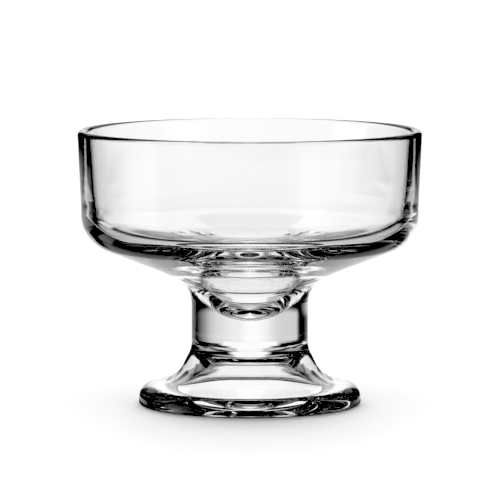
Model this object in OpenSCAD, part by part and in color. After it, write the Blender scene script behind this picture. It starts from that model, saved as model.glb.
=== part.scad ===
// Low footed dessert coupe in thick clear pressed glass.
// Every piece is a turned solid: its outline is a list of corners [radius, level, rounding],
// measured from the centre line out and from the piece's own underside up, and the corners
// are rounded by arcs.

/* [Heights] */
// Height of the foot with its flare, from the table to the stem
foot_h = 19; // [16:0.5:26]
// Height of the plain stem between the foot and the neck of the bowl
stem_h = 4.5; // [3:0.5:30]
// Height of the bowl, from the flat underside of its neck to the top of the rim
bowl_h = 60.1; // [50:0.1:80]

/* [Stem] */
// Diameter of the stem, of the collar under it and of the neck on it
stem_d = 35.6; // [29:0.1:41]

/* [Bowl outside] */
// Diameter of the bowl at the rim
rim_d = 105; // [86:0.5:122]
// How much narrower the bowl is where its drafted upper wall turns upright
upper_taper = 2; // [0.5:0.1:4]
// How much narrower still the upright wall is at the lower corner
lower_taper = 0.4; // [0:0.1:2]
// Diameter at which the underside changes its slope
underside_d = 51.2; // [44:0.2:60]
// Level at which the upper wall turns upright, above the neck's underside
wall_level = 38.5; // [33.5:0.5:44.5]
// Level of the lower corner
belly_level = 26.7; // [22.5:0.1:30.5]
// Level at which the underside changes its slope
underside_level = 16.5; // [14:0.1:19]
// Level at which the underside runs into the neck
neck_level = 11.3; // [9.5:0.1:13]
// Rounding of the change from drafted to upright wall
wall_round = 30; // [0:1:40]
// Rounding of the lower corner
belly_round = 11.6; // [6:0.2:14]
// Rounding of the change of slope in the underside
underside_round = 27; // [5:1:40]
// Rounding between the underside and the neck
neck_round = 7.4; // [3:0.1:10]

/* [Bowl inside] */
// Thickness of the wall at the rim
lip_wall = 2.95; // [2.4:0.05:4]
// Thickness of the wall between the lower corners outside and inside, measured across
corner_wall = 4.3; // [3.4:0.05:6]
// Height of the lower inside corner over the lower corner outside
corner_floor = 3.6; // [2:0.1:5]
// Height of the well's mouth over the bend in the underside
mouth_floor = 5.5; // [3.5:0.1:7]
// Diameter of the mouth of the well in the middle of the bowl's floor
mouth_d = 32.4; // [27:0.2:36]
// Diameter of the well at its bottom
well_d = 12.8; // [10:0.2:18]
// Glass left under the well
well_floor = 2.2; // [1.6:0.1:5]
// Rounding of the lip, inside and outside
rim_round = 1.4; // [0.8:0.05:1.5]
// Rounding of the lower inside corner
cavity_round = 7; // [4:0.2:12]
// Rounding of the well's mouth
mouth_round = 14; // [3:0.5:18]
// Rounding of the well's bottom
well_round = 11; // [3:0.2:12]

/* [Foot] */
// Diameter of the foot
foot_d = 67.8; // [56:0.2:80]
// Height of the straight collar of the foot, below the stem
collar_h = 2; // [1:0.1:3]
// How far the flare has spread beyond the collar where it turns outwards
flare_out = 4.3; // [3:0.05:6]
// Level at which the flare turns outwards, above the table
flare_level = 8.2; // [7:0.1:9.6]
// Level at which the top of the foot meets its edge
edge_level = 4.7; // [3.6:0.1:5.2]
// Rounding where the stem starts to flare
waist_round = 8; // [3:0.5:12]
// Rounding where the flare turns outwards
flare_round = 9.8; // [5:0.1:16]
// Rounding of the upper edge of the foot
edge_round = 3.6; // [1:0.1:5]
// Rounding of the lower edge of the foot
base_round = 0.7; // [0.4:0.1:1.2]

/* [Hollow under the foot] */
// Width of the foot's edge on the table, outside the hollow
ring_wall = 2.8; // [2.2:0.1:5]
// Glass between the flare and the bend in the hollow, measured across
flare_wall = 2.5; // [1.2:0.1:3.4]
// Level at which the hollow turns up into the foot
bend_level = 4.2; // [3:0.1:5]
// Glass left over the hollow
roof = 4.8; // [2:0.1:7]
// Diameter of the top of the hollow
hollow_top_d = 23; // [16:0.2:26]
// Rounding of the bend in the hollow
bend_round = 16; // [4:0.5:22]
// Rounding of the top of the hollow
hollow_round = 6; // [3:0.5:10]

/* [Hidden] */

// Facets of each turned piece and straight pieces of each rounded corner
$fn = 144;
arc_steps = 10;

// Two roundings leave at least one part in so many of the side between them straight
side_steps = 50;

// Clear glass with a faint cool cast, a little deeper where it is thickest
bowl_colour = [0.88, 0.93, 0.94];
stem_colour = [0.80, 0.87, 0.89];
foot_colour = [0.84, 0.90, 0.92];

stem_r = stem_d / 2;
stem_level = foot_h;
bowl_level = foot_h + stem_h;

// Radii and levels of the bowl's walls, outside and inside
rim_r = rim_d / 2;
wall_r = (rim_d - upper_taper) / 2;
belly_r = wall_r - lower_taper / 2;
cavity_r = belly_r - corner_wall;
cavity_level = belly_level + corner_floor;
mouth_level = underside_level + mouth_floor;

// Radii and levels of the foot's flare and of the hollow under it
waist_level = foot_h - collar_h;
flare_r = stem_r + flare_out;
foot_r = foot_d / 2;
hollow_h = foot_h - roof;

// Inside of the bowl from the centre line up, over the lip and down the outside
bowl_corners = [
    [0, well_floor, 0],
    [well_d / 2, well_floor, well_round],
    [mouth_d / 2, mouth_level, mouth_round],
    [cavity_r, cavity_level, cavity_round],
    [rim_r - lip_wall, bowl_h, rim_round],
    [rim_r, bowl_h, rim_round],
    [wall_r, wall_level, wall_round],
    [belly_r, belly_level, belly_round],
    [underside_d / 2, underside_level, underside_round],
    [stem_r, neck_level, neck_round],
    [stem_r, 0, 0],
    [0, 0, 0]
];

// Top of the foot on the centre line, down the flare, round the edge and back under
foot_corners = [
    [0, foot_h, 0],
    [stem_r, foot_h, 0],
    [stem_r, waist_level, waist_round],
    [flare_r, flare_level, flare_round],
    [foot_r, edge_level, edge_round],
    [foot_r, 0, base_round],
    [foot_r - ring_wall, 0, 0],
    [flare_r - flare_wall, bend_level, bend_round],
    [hollow_top_d / 2, hollow_h, hollow_round],
    [0, hollow_h, 0]
];

function unit(v) = v / norm(v);
function place(corner) = [corner[0], corner[1]];
function corner_at(corners, i) = corners[(i + len(corners)) % len(corners)];

// The two sides that leave corner i, and half the angle between them
function side_back(corners, i) = place(corner_at(corners, i - 1)) - place(corner_at(corners, i));
function side_on(corners, i) = place(corner_at(corners, i + 1)) - place(corner_at(corners, i));
function half_angle(corners, i) =
    acos(unit(side_back(corners, i)) * unit(side_on(corners, i))) / 2;

// How much of each side the rounding would take, and how much it gets beside its neighbours
function wanted(corners, i) = corner_at(corners, i)[2] / tan(half_angle(corners, i));
function share(side, own, other) = own * min(1, side * (1 - 1 / side_steps) / (own + other));
function taken(corners, i) = min(
    share(norm(side_back(corners, i)), wanted(corners, i), wanted(corners, i - 1)),
    share(norm(side_on(corners, i)), wanted(corners, i), wanted(corners, i + 1))
);

// The arc that rounds corner i, or the corner itself where it is sharp
function arc_points(corners, i) =
    corner_at(corners, i)[2] == 0 ? [place(corner_at(corners, i))] :
    let (
        half = half_angle(corners, i),
        length = taken(corners, i),
        radius = length * tan(half),
        back = unit(side_back(corners, i)),
        on = unit(side_on(corners, i)),
        centre = place(corner_at(corners, i)) + unit(back + on) * radius / sin(half),
        from = place(corner_at(corners, i)) + back * length - centre,
        to = place(corner_at(corners, i)) + on * length - centre,
        start = atan2(from[1], from[0]),
        turn = (atan2(to[1], to[0]) - start + 540) % 360 - 180
    )
    [for (k = [0:arc_steps]) centre + radius * [cos(start + turn * k / arc_steps),
                                                sin(start + turn * k / arc_steps)]];

function rounded(corners) = [for (i = [0:len(corners) - 1]) each arc_points(corners, i)];

module turned(corners) {
    rotate_extrude() polygon(rounded(corners));
}

// Wide bowl with its floor, the deep well in it and the neck below
module bowl() {
    color(bowl_colour) translate([0, 0, bowl_level]) turned(bowl_corners);
}

// Short solid column
module stem() {
    color(stem_colour) translate([0, 0, stem_level]) cylinder(h = stem_h, d = stem_d);
}

// Flared foot with a thick rounded edge and a wide hollow underneath
module foot() {
    color(foot_colour) turned(foot_corners);
}

bowl();
stem();
foot();
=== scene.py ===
"""Dresses a low footed dessert coupe in clear pressed glass and sets it in a plain bright studio."""

import math

import bmesh
import bpy
from bpy.props import FloatProperty, FloatVectorProperty, IntProperty, PointerProperty
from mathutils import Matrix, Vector


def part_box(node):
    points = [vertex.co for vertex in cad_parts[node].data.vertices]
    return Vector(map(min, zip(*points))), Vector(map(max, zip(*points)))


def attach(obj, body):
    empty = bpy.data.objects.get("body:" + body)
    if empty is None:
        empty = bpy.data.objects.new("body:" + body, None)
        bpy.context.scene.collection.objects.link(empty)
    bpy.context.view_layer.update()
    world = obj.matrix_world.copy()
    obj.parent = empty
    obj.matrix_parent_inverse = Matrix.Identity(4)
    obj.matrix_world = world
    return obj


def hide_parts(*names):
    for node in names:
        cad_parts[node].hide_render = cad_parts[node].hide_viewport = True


bl_info = {
    "name": "Footed Dessert Coupe",
    "version": (1, 0, 0),
    "blender": (4, 5, 0),
    "location": "3D Viewport > Sidebar > Coupe",
    "description": "Turns the glass pieces of a footed dessert coupe and lights them in a bright studio",
    "category": "Add Mesh",
}

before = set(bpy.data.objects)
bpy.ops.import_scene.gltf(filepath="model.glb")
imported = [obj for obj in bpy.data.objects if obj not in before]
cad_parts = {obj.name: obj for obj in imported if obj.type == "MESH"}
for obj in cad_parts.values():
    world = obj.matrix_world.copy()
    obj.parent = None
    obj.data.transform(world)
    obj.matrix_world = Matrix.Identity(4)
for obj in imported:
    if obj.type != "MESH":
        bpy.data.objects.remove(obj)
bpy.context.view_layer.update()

# Levels at which the three pieces meet, and the stem's radius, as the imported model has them
FOOT_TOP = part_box("foot")[1].z
NECK_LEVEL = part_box("bowl")[0].z
RIM_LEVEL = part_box("bowl")[1].z
STEM_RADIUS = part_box("stem")[1].x

# Two roundings leave at least one part in so many of the side between them straight
SIDE_STEPS = 50

# Finest distances, in metres: points that are one point, and a face's distance from a level
SAME_POINT = 0.000002
SAME_LEVEL = 0.00001

# How far a flat face's normal may lean, and the angle at which two faces stop looking smooth
FLAT_LEAN = 0.01
SMOOTH_ANGLE = math.radians(40)

# Waves within waves of the pressed surface
RIPPLE_DETAIL = 1.5

# The photograph's view: the camera's distance and its angle above the horizon, and the place
# of the glass's middle in the photograph's frame
CAMERA_DISTANCE = 1.1879
CAMERA_ELEVATION = math.radians(6.12)
TARGET_LEVEL = 0.0418
PHOTO_PIXELS = 500
PIXELS_PER_METRE = 3278
TARGET_PIXEL = (249.8, 266.2)
CAMERA_NEAR = 0.01
CAMERA_FAR = 20

# The soft lights: angle above the horizon and angle that each one fills
TOP_LIGHT_ANGLES = (math.radians(90), math.radians(165))
BACK_LIGHT_ANGLES = (math.radians(25), math.radians(50))

# Steps of the round floor's edge, and how often light is followed from surface to surface
FLOOR_STEPS = 160
LIGHT_BOUNCES = 32

# What the glass sees round it: bright fields in the dark, as (centre, half width, softness across,
# lowest, highest, softness up, brightness). The angles are in degrees: across they start straight
# behind the glass and grow to the right, and upwards they start at the horizon
BRIGHT_FIELDS = (
    # The brightest band, from the lit wall behind the glass down across the floor
    (0, 12, 4, -5.8, 33, 0.4, 1.0),
    (0, 12, 4, -100, -12, 0.3, 1.0),
    (0, 13, 3, -6.4, 10, 0.4, 1.0),
    # The soft gradient that the stem shows
    (-2, 20, 19, -13, -5, 0.5, 1.0),
    (3, 33, 28, -15, -5.8, 0.3, 0.88),
    (-16, 29, 4, -12, -5.8, 0.3, 0.68),
    # The lit floor behind the glass
    (0, 16, 4, -24, -17, 1.5, 1.0),
    (0, 22, 4, -18.5, -10.5, 1.5, 1.0),
    (0, 35, 8, -100, -25, 2, 0.63),
    # The dimmer top of the wall
    (0, 30, 8, 17, 29, 3, 0.5),
    (0, 28, 8, 29, 50, 3, 0.32),
    # The floor in front and at the sides
    (180, 118, 8, -26, -17, 1.5, 0.66),
    (180, 130, 12, -58, -32, 4, 0.4),
    # Windows at the left and behind the camera's right shoulder, each with a wide soft strip across it
    (-102, 14, 6, -14, 12, 2, 1.0),
    (-102, 36, 22, -6, -2.5, 0.5, 0.9),
    (135, 14, 12, -24, -5, 2, 1.0),
    (135, 36, 22, -18, -14.5, 0.5, 0.9),
    # A card low at the back left
    (-45, 12, 4, -32, -22, 2, 0.9),
)


def length(name, description, default):
    """A size in metres, shown with its unit."""
    return FloatProperty(
        name=name, description=description, default=default, unit="LENGTH", precision=5
    )


class CoupeBowlSizes(bpy.types.PropertyGroup):
    """Sizes of the bowl. Levels are measured up from the flat underside of its neck."""

    rim_d: length("Rim", "Diameter of the bowl at the rim", 0.105)
    upper_taper: length("Upper taper", "How much narrower the bowl is where its wall turns upright", 0.002)
    lower_taper: length("Lower taper", "How much narrower the upright wall is at the lower corner", 0.0004)
    underside_d: length("Underside bend", "Diameter at which the underside changes its slope", 0.0512)
    wall_level: length("Wall level", "Level at which the upper wall turns upright", 0.0385)
    belly_level: length("Belly level", "Level of the lower corner", 0.0267)
    underside_level: length("Underside level", "Level of the bend in the underside", 0.0165)
    neck_level: length("Neck level", "Level at which the underside runs into the neck", 0.0113)
    wall_round: length("Wall rounding", "Rounding where the wall turns upright", 0.03)
    belly_round: length("Belly rounding", "Rounding of the lower corner", 0.0116)
    underside_round: length("Underside rounding", "Rounding of the bend in the underside", 0.027)
    neck_round: length("Neck rounding", "Rounding between the underside and the neck", 0.0074)
    lip_wall: length("Lip wall", "Thickness of the wall at the rim", 0.00295)
    corner_wall: length("Corner wall", "Glass between the lower corners, measured across", 0.0043)
    corner_floor: length("Corner floor", "Glass between the lower corners, measured up", 0.0036)
    mouth_floor: length("Mouth floor", "Height of the well's mouth over the bend underneath", 0.0055)
    mouth_d: length("Well mouth", "Diameter of the mouth of the well", 0.0324)
    well_d: length("Well bottom", "Diameter of the well at its bottom", 0.0128)
    well_floor: length("Well floor", "Glass left under the well", 0.0022)
    rim_round: length("Lip rounding", "Rounding of the lip, inside and outside", 0.0014)
    cavity_round: length("Cavity rounding", "Rounding of the lower inside corner", 0.007)
    mouth_round: length("Mouth rounding", "Rounding of the well's mouth", 0.014)
    well_round: length("Well rounding", "Rounding of the well's bottom", 0.011)


class CoupeFootSizes(bpy.types.PropertyGroup):
    """Sizes of the foot. Levels are measured up from the table."""

    foot_d: length("Foot", "Diameter of the foot", 0.0678)
    collar_h: length("Collar", "Height of the straight collar under the stem", 0.002)
    flare_out: length("Flare", "How far the flare spreads before it turns outwards", 0.0043)
    flare_level: length("Flare level", "Level at which the flare turns outwards", 0.0082)
    edge_level: length("Edge level", "Level at which the top of the foot meets its edge", 0.0047)
    waist_round: length("Waist rounding", "Rounding where the collar starts to flare", 0.008)
    flare_round: length("Flare rounding", "Rounding where the flare turns outwards", 0.0098)
    edge_round: length("Edge rounding", "Rounding of the upper edge of the foot", 0.0036)
    base_round: length("Base rounding", "Rounding of the lower edge of the foot", 0.0007)
    ring_wall: length("Standing ring", "Width of the edge on the table, outside the hollow", 0.0028)
    flare_wall: length("Flare wall", "Glass between the flare and the bend in the hollow", 0.0025)
    bend_level: length("Bend level", "Level at which the hollow turns up into the foot", 0.0042)
    roof: length("Roof", "Glass left over the hollow", 0.0048)
    hollow_top_d: length("Hollow top", "Diameter of the top of the hollow", 0.023)
    bend_round: length("Bend rounding", "Rounding of the bend in the hollow", 0.016)
    hollow_round: length("Hollow rounding", "Rounding of the top of the hollow", 0.006)


class CoupeGlass(bpy.types.PropertyGroup):
    """Finish of the glass and how finely it is turned."""

    colour: FloatVectorProperty(
        name="Glass", description="Colour of the clear glass", subtype="COLOR",
        size=3, min=0, max=1, default=(1.0, 1.0, 1.0),
    )
    ior: FloatProperty(name="Refraction", description="Refractive index", default=1.52, min=1, max=2)
    ripple_size: FloatProperty(
        name="Ripple scale", description="Waves of the pressed surface per metre", default=70.0, min=1
    )
    ripple_depth: length("Ripple depth", "Height of the pressed surface's soft waves", 0.000012)
    turn_steps: IntProperty(name="Turn steps", description="Steps of one turn", default=240, min=24)
    arc_steps: IntProperty(name="Arc steps", description="Steps of a rounded corner", default=14, min=2)


class CoupeStudio(bpy.types.PropertyGroup):
    """Light, floor and camera."""

    floor_colour: FloatVectorProperty(
        name="Floor", description="Colour of the floor", subtype="COLOR",
        size=3, min=0, max=1, default=(0.85, 0.85, 0.85),
    )
    floor_radius: length("Floor radius", "Radius of the round floor", 6.0)
    floor_gap: length("Floor gap", "How far the floor lies below the foot", 0.0002)
    # How far the black ring of painted contact shadow reaches past the foot's edge
    contact_margin: length("Contact margin", "How far the dark floor passes the foot's edge", 0.0025)
    top_power: FloatProperty(
        name="Top light", description="Strength of the soft light above", default=2.24, min=0
    )
    back_power: FloatProperty(
        name="Back light", description="Strength of the soft light behind", default=3.71, min=0
    )
    black_level: FloatProperty(
        name="Black level", description="Brightness shown as black", default=0.043, subtype="FACTOR"
    )
    white_level: FloatProperty(
        name="White level", description="Brightness shown as white", default=0.95, subtype="FACTOR"
    )
    dark_level: FloatProperty(
        name="Dark level", description="Brightness of the dark surround", default=0.0, min=0
    )


# Outlines: a corner is (radius, level, rounding), and the roundings are true arcs
def half_angles(corners):
    """Half the angle between the two sides at each corner."""
    count = len(corners)
    halves = []
    for i in range(count):
        here = Vector(corners[i][:2])
        back = Vector(corners[i - 1][:2]) - here
        on = Vector(corners[(i + 1) % count][:2]) - here
        halves.append(back.angle(on) / 2)
    return halves


def shared(side, own, other):
    """The part of a side that a rounding gets beside its neighbour's."""
    return own * min(1, side * (1 - 1 / SIDE_STEPS) / (own + other))


def outline(corners, arc_steps):
    """The points (radius, level) of a closed outline, with each corner rounded by its arc."""
    count = len(corners)
    halves = half_angles(corners)
    wanted = [corners[i][2] / math.tan(halves[i]) for i in range(count)]
    points = []
    for i in range(count):
        here = Vector(corners[i][:2])
        if corners[i][2] == 0:
            points.append(here)
            continue
        back = Vector(corners[i - 1][:2]) - here
        on = Vector(corners[(i + 1) % count][:2]) - here
        taken = min(
            shared(back.length, wanted[i], wanted[i - 1]),
            shared(on.length, wanted[i], wanted[(i + 1) % count]),
        )
        radius = taken * math.tan(halves[i])
        middle = (back.normalized() + on.normalized()).normalized()
        centre = here + middle * radius / math.sin(halves[i])
        start = here + back.normalized() * taken - centre
        end = here + on.normalized() * taken - centre
        first = math.atan2(start.y, start.x)
        turn = (math.atan2(end.y, end.x) - first + 3 * math.pi) % math.tau - math.pi
        for k in range(arc_steps + 1):
            angle = first + turn * k / arc_steps
            points.append(centre + radius * Vector((math.cos(angle), math.sin(angle))))
    return points


def turned(name, corners, glass):
    """Draws the outline as a chain of extruded points and spins it once round the centre line."""
    points = outline(corners, glass.arc_steps)
    bpy.ops.object.select_all(action="DESELECT")
    bpy.ops.mesh.primitive_plane_add(size=STEM_RADIUS)
    piece = bpy.context.object
    piece.name = name
    piece.data.name = name
    bpy.ops.object.mode_set(mode="EDIT")
    bpy.ops.mesh.merge(type="CENTER")
    bpy.ops.transform.translate(value=(points[0].x, 0, points[0].y))
    for before, after in zip(points, points[1:]):
        step = after - before
        bpy.ops.mesh.extrude_region_move(TRANSFORM_OT_translate={"value": (step.x, 0, step.y)})
    bpy.ops.mesh.select_all(action="SELECT")
    bpy.ops.mesh.spin(steps=glass.turn_steps, angle=math.tau, center=(0, 0, 0), axis=(0, 0, 1))
    bpy.ops.mesh.select_all(action="SELECT")
    bpy.ops.mesh.remove_doubles(threshold=SAME_POINT)
    bpy.ops.mesh.normals_make_consistent(inside=False)
    bpy.ops.object.mode_set(mode="OBJECT")
    bpy.ops.object.shade_smooth_by_angle(angle=SMOOTH_ANGLE)
    return piece


def fuse_faces(piece, levels):
    """Gives the flat faces at these levels the second material: there the glass simply runs on."""
    bpy.ops.object.mode_set(mode="EDIT")
    bpy.ops.mesh.select_all(action="DESELECT")
    mesh = bmesh.from_edit_mesh(piece.data)
    for face in mesh.faces:
        flat = max(abs(face.normal.x), abs(face.normal.y)) < FLAT_LEAN
        middle = face.calc_center_median().z
        if flat and min(abs(middle - level) for level in levels) < SAME_LEVEL:
            face.select_set(True)
    bmesh.update_edit_mesh(piece.data)
    piece.active_material_index = 1
    bpy.ops.object.material_slot_assign()
    bpy.ops.object.mode_set(mode="OBJECT")


def finish_piece(piece, glass, levels, node):
    """Gives a turned piece its glass, its fused faces and its body, and hides the imported part it
    replaces.
    """
    # Only the foot shades the floor: the clear glass above it would cast hardly any shadow
    piece.visible_shadow = node == "foot"
    piece.data.materials.append(pressed_glass(glass))
    piece.data.materials.append(fused_joint())
    fuse_faces(piece, levels)
    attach(piece, "root")
    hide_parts(node)


# Materials
def pressed_glass(glass):
    """Clear fire-polished glass whose surface keeps the soft waves of the mould."""
    material = bpy.data.materials.get("pressed_glass")
    if material:
        return material
    material = bpy.data.materials.new("pressed_glass")
    material.use_nodes = True
    nodes = material.node_tree.nodes
    links = material.node_tree.links
    shader = nodes["Principled BSDF"]
    shader.inputs["Base Color"].default_value = (*glass.colour, 1)
    shader.inputs["Roughness"].default_value = 0
    shader.inputs["IOR"].default_value = glass.ior
    shader.inputs["Transmission Weight"].default_value = 1
    place = nodes.new("ShaderNodeTexCoord")
    waves = nodes.new("ShaderNodeTexNoise")
    waves.inputs["Scale"].default_value = glass.ripple_size
    waves.inputs["Detail"].default_value = RIPPLE_DETAIL
    bump = nodes.new("ShaderNodeBump")
    bump.inputs["Strength"].default_value = 1
    bump.inputs["Distance"].default_value = glass.ripple_depth
    links.new(place.outputs["Object"], waves.inputs["Vector"])
    links.new(waves.outputs["Fac"], bump.inputs["Height"])
    links.new(bump.outputs["Normal"], shader.inputs["Normal"])
    return material


def fused_joint():
    """No surface at all: two pieces of the same glass are fused together here."""
    material = bpy.data.materials.get("fused_joint")
    if material:
        return material
    material = bpy.data.materials.new("fused_joint")
    material.use_nodes = True
    tree = material.node_tree
    tree.nodes.remove(tree.nodes["Principled BSDF"])
    clear = tree.nodes.new("ShaderNodeBsdfTransparent")
    tree.links.new(clear.outputs["BSDF"], tree.nodes["Material Output"].inputs["Surface"])
    return material


def matt_paint(name, colour):
    """Matt paper of one colour."""
    material = bpy.data.materials.new(name)
    material.use_nodes = True
    shader = material.node_tree.nodes["Principled BSDF"]
    shader.inputs["Base Color"].default_value = (*colour, 1)
    shader.inputs["Roughness"].default_value = 1
    shader.inputs["Specular IOR Level"].default_value = 0
    return material


def node_value(tree, operation, *values):
    """A maths node whose inputs are numbers or other nodes' outputs."""
    node = tree.nodes.new("ShaderNodeMath")
    node.operation = operation
    for socket, value in zip(node.inputs, values):
        if isinstance(value, (int, float)):
            socket.default_value = value
        else:
            tree.links.new(value, socket)
    return node.outputs[0]


def fade(tree, value, start, stop):
    """A soft step from 0 to 1 between two angles in degrees."""
    node = tree.nodes.new("ShaderNodeMapRange")
    node.interpolation_type = "SMOOTHSTEP"
    node.inputs["From Min"].default_value = math.radians(start)
    node.inputs["From Max"].default_value = math.radians(stop)
    tree.links.new(value, node.inputs["Value"])
    return node.outputs["Result"]


def bright_field(tree, azimuth, elevation, field):
    """One bright field in the dark surround."""
    centre, half_width, softness, lowest, highest, softness_up, brightness = field
    turned_to = node_value(tree, "SUBTRACT", azimuth, math.radians(centre))
    wrapped = node_value(tree, "WRAP", turned_to, math.pi, -math.pi)
    away = node_value(tree, "ABSOLUTE", wrapped)
    outside = fade(tree, away, half_width - softness, half_width + softness)
    across = node_value(tree, "SUBTRACT", 1, outside)
    above = fade(tree, elevation, lowest - softness_up, lowest + softness_up)
    over = fade(tree, elevation, highest - softness_up, highest + softness_up)
    below = node_value(tree, "SUBTRACT", brightness, node_value(tree, "MULTIPLY", over, brightness))
    return node_value(tree, "MULTIPLY", across, node_value(tree, "MULTIPLY", above, below))


def build_surround(studio):
    """White for the camera; for the glass, bright fields in the dark, which draw its dark edges."""
    world = bpy.data.worlds.new("bright_field_surround")
    bpy.context.scene.world = world
    world.use_nodes = True
    tree = world.node_tree
    background = tree.nodes["Background"]
    background.inputs["Color"].default_value = (1, 1, 1, 1)
    place = tree.nodes.new("ShaderNodeTexCoord")
    parts = tree.nodes.new("ShaderNodeSeparateXYZ")
    tree.links.new(place.outputs["Generated"], parts.inputs["Vector"])
    azimuth = node_value(tree, "ARCTAN2", parts.outputs["X"], parts.outputs["Y"])
    elevation = node_value(tree, "ARCSINE", parts.outputs["Z"])
    level = studio.dark_level
    for field in BRIGHT_FIELDS:
        level = node_value(tree, "MAXIMUM", level, bright_field(tree, azimuth, elevation, field))
    path = tree.nodes.new("ShaderNodeLightPath")
    seen = node_value(tree, "MAXIMUM", level, path.outputs["Is Camera Ray"])
    tree.links.new(seen, background.inputs["Strength"])


def white_floor(studio):
    """The floor as the camera sees it; the glass sees the surround's lower half in its place."""
    bpy.ops.object.select_all(action="DESELECT")
    bpy.ops.mesh.primitive_circle_add(
        vertices=FLOOR_STEPS, radius=studio.floor_radius, fill_type="NGON"
    )
    bpy.ops.transform.translate(value=(0, 0, -studio.floor_gap))
    bpy.ops.object.transform_apply(location=True, rotation=False, scale=False)
    floor = bpy.context.object
    floor.name = "floor"
    floor.data.materials.append(matt_paint("floor_paint", studio.floor_colour))
    floor.visible_glossy = False
    floor.visible_transmission = False


def contact_shadow(studio, foot):
    """Painted shadow: a black ring right under the edge of the foot, seen only by the glass, for the shade
    where the foot meets the floor.
    """
    inner = foot.foot_d / 2 - foot.ring_wall - studio.contact_margin
    outer = foot.foot_d / 2 + studio.contact_margin
    bpy.ops.object.select_all(action="DESELECT")
    bpy.ops.mesh.primitive_circle_add(vertices=FLOOR_STEPS, radius=inner, fill_type="NOTHING")
    bpy.ops.object.mode_set(mode="EDIT")
    bpy.ops.mesh.select_all(action="SELECT")
    bpy.ops.mesh.extrude_edges_move()
    bpy.ops.transform.resize(value=(outer / inner, outer / inner, 1))
    bpy.ops.object.mode_set(mode="OBJECT")
    bpy.ops.transform.translate(value=(0, 0, -studio.floor_gap / 2))
    bpy.ops.object.transform_apply(location=True, rotation=False, scale=False)
    ring = bpy.context.object
    ring.name = "contact_shadow"
    # Black paint for the painted contact shadow; the camera and the floor's light don't see it
    ring.data.materials.append(matt_paint("shadow_paint", (0, 0, 0)))
    ring.visible_camera = False
    ring.visible_diffuse = False
    ring.visible_shadow = False


def soft_light(name, angles, strength):
    """A broad even light, which reaches the floor but isn't seen in the glass."""
    elevation, spread = angles
    turn = (elevation - math.pi / 2, 0, 0)
    bpy.ops.object.light_add(type="SUN", rotation=turn)
    lamp = bpy.context.object
    lamp.name = name
    lamp.data.energy = strength
    lamp.data.angle = spread
    lamp.visible_camera = False
    lamp.visible_glossy = False
    lamp.visible_transmission = False


def set_contrast(view, studio):
    """The print's hard contrast: everything below the black level is black."""
    view.view_transform = "Standard"
    view.use_curve_mapping = True
    view.curve_mapping.black_level = (studio.black_level,) * 3
    view.curve_mapping.white_level = (studio.white_level,) * 3
    view.curve_mapping.update()


class COUPE_OT_bowl(bpy.types.Operator):
    """Turn the bowl with its sloping floor, its deep well and its neck"""

    bl_idname = "coupe.bowl"
    bl_label = "Bowl"

    def execute(self, context):
        size = context.scene.coupe_bowl
        rim_r = size.rim_d / 2
        wall_r = rim_r - size.upper_taper / 2
        belly_r = wall_r - size.lower_taper / 2
        height = RIM_LEVEL - NECK_LEVEL
        corners = (
            (0, size.well_floor, 0),
            (size.well_d / 2, size.well_floor, size.well_round),
            (size.mouth_d / 2, size.underside_level + size.mouth_floor, size.mouth_round),
            (belly_r - size.corner_wall, size.belly_level + size.corner_floor, size.cavity_round),
            (rim_r - size.lip_wall, height, size.rim_round),
            (rim_r, height, size.rim_round),
            (wall_r, size.wall_level, size.wall_round),
            (belly_r, size.belly_level, size.belly_round),
            (size.underside_d / 2, size.underside_level, size.underside_round),
            (STEM_RADIUS, size.neck_level, size.neck_round),
            (STEM_RADIUS, 0, 0),
            (0, 0, 0),
        )
        corners = [(radius, level + NECK_LEVEL, rounding) for radius, level, rounding in corners]
        piece = turned("bowl_glass", corners, context.scene.coupe_glass)
        finish_piece(piece, context.scene.coupe_glass, (NECK_LEVEL,), "bowl")
        return {"FINISHED"}


class COUPE_OT_stem(bpy.types.Operator):
    """Turn the short solid stem"""

    bl_idname = "coupe.stem"
    bl_label = "Stem"

    def execute(self, context):
        corners = (
            (0, NECK_LEVEL, 0),
            (STEM_RADIUS, NECK_LEVEL, 0),
            (STEM_RADIUS, FOOT_TOP, 0),
            (0, FOOT_TOP, 0),
        )
        piece = turned("stem_glass", corners, context.scene.coupe_glass)
        finish_piece(piece, context.scene.coupe_glass, (NECK_LEVEL, FOOT_TOP), "stem")
        return {"FINISHED"}


class COUPE_OT_foot(bpy.types.Operator):
    """Turn the flared foot with its wide hollow"""

    bl_idname = "coupe.foot"
    bl_label = "Foot"

    def execute(self, context):
        size = context.scene.coupe_foot
        foot_r = size.foot_d / 2
        flare_r = STEM_RADIUS + size.flare_out
        hollow_level = FOOT_TOP - size.roof
        corners = (
            (0, FOOT_TOP, 0),
            (STEM_RADIUS, FOOT_TOP, 0),
            (STEM_RADIUS, FOOT_TOP - size.collar_h, size.waist_round),
            (flare_r, size.flare_level, size.flare_round),
            (foot_r, size.edge_level, size.edge_round),
            (foot_r, 0, size.base_round),
            (foot_r - size.ring_wall, 0, 0),
            (flare_r - size.flare_wall, size.bend_level, size.bend_round),
            (size.hollow_top_d / 2, hollow_level, size.hollow_round),
            (0, hollow_level, 0),
        )
        piece = turned("foot_glass", corners, context.scene.coupe_glass)
        finish_piece(piece, context.scene.coupe_glass, (FOOT_TOP,), "foot")
        return {"FINISHED"}


class COUPE_OT_studio(bpy.types.Operator):
    """Set up the floor, the surround, the lights and the camera"""

    bl_idname = "coupe.studio"
    bl_label = "Studio"

    def execute(self, context):
        studio = context.scene.coupe_studio
        build_surround(studio)
        white_floor(studio)
        contact_shadow(studio, context.scene.coupe_foot)
        soft_light("top_light", TOP_LIGHT_ANGLES, studio.top_power)
        soft_light("back_light", BACK_LIGHT_ANGLES, studio.back_power)
        set_contrast(context.scene.view_settings, studio)
        context.scene.cycles.max_bounces = LIGHT_BOUNCES
        context.scene.cycles.transmission_bounces = LIGHT_BOUNCES
        context.scene.cycles.glossy_bounces = LIGHT_BOUNCES
        context.scene.cycles.transparent_max_bounces = LIGHT_BOUNCES
        add_camera()
        return {"FINISHED"}


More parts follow.
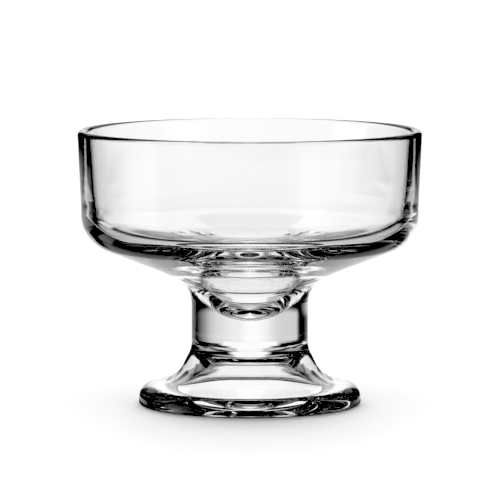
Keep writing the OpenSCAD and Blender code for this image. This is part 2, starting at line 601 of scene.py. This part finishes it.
def add_camera():
    """The photograph's camera."""
    back = CAMERA_DISTANCE * math.cos(CAMERA_ELEVATION)
    up = TARGET_LEVEL + CAMERA_DISTANCE * math.sin(CAMERA_ELEVATION)
    bpy.ops.object.camera_add(location=(0, -back, up), rotation=(math.pi / 2 - CAMERA_ELEVATION, 0, 0))
    camera = bpy.context.object
    camera.name = "camera"
    camera.data.lens = camera.data.sensor_width * CAMERA_DISTANCE * PIXELS_PER_METRE / PHOTO_PIXELS
    camera.data.shift_x = (PHOTO_PIXELS / 2 - TARGET_PIXEL[0]) / PHOTO_PIXELS
    camera.data.shift_y = (TARGET_PIXEL[1] - PHOTO_PIXELS / 2) / PHOTO_PIXELS
    camera.data.clip_start = CAMERA_NEAR
    camera.data.clip_end = CAMERA_FAR
    bpy.context.scene.camera = camera


class COUPE_PT_panel(bpy.types.Panel):
    """Lists the coupe's pieces, sizes and finish"""

    bl_idname = "COUPE_PT_panel"
    bl_label = "Dessert Coupe"
    bl_space_type = "VIEW_3D"
    bl_region_type = "UI"
    bl_category = "Coupe"

    def draw(self, context):
        for operator in PIECE_OPERATORS:
            self.layout.operator(operator.bl_idname)
        for group in GROUPS:
            settings = getattr(context.scene, group)
            box = self.layout.box()
            for name in settings.bl_rna.properties.keys():
                if name not in ("rna_type", "name"):
                    box.prop(settings, name)


PIECE_OPERATORS = (COUPE_OT_bowl, COUPE_OT_stem, COUPE_OT_foot, COUPE_OT_studio)
GROUPS = {
    "coupe_bowl": CoupeBowlSizes,
    "coupe_foot": CoupeFootSizes,
    "coupe_glass": CoupeGlass,
    "coupe_studio": CoupeStudio,
}


def register():
    for name, group in GROUPS.items():
        bpy.utils.register_class(group)
        setattr(bpy.types.Scene, name, PointerProperty(type=group))
    for operator in PIECE_OPERATORS:
        bpy.utils.register_class(operator)
    bpy.utils.register_class(COUPE_PT_panel)


def unregister():
    bpy.utils.unregister_class(COUPE_PT_panel)
    for operator in reversed(PIECE_OPERATORS):
        bpy.utils.unregister_class(operator)
    for name, group in reversed(GROUPS.items()):
        delattr(bpy.types.Scene, name)
        bpy.utils.unregister_class(group)


def main():
    register()
    bpy.ops.coupe.bowl()
    bpy.ops.coupe.stem()
    bpy.ops.coupe.foot()
    bpy.ops.coupe.studio()


if __name__ == "__main__":
    main()
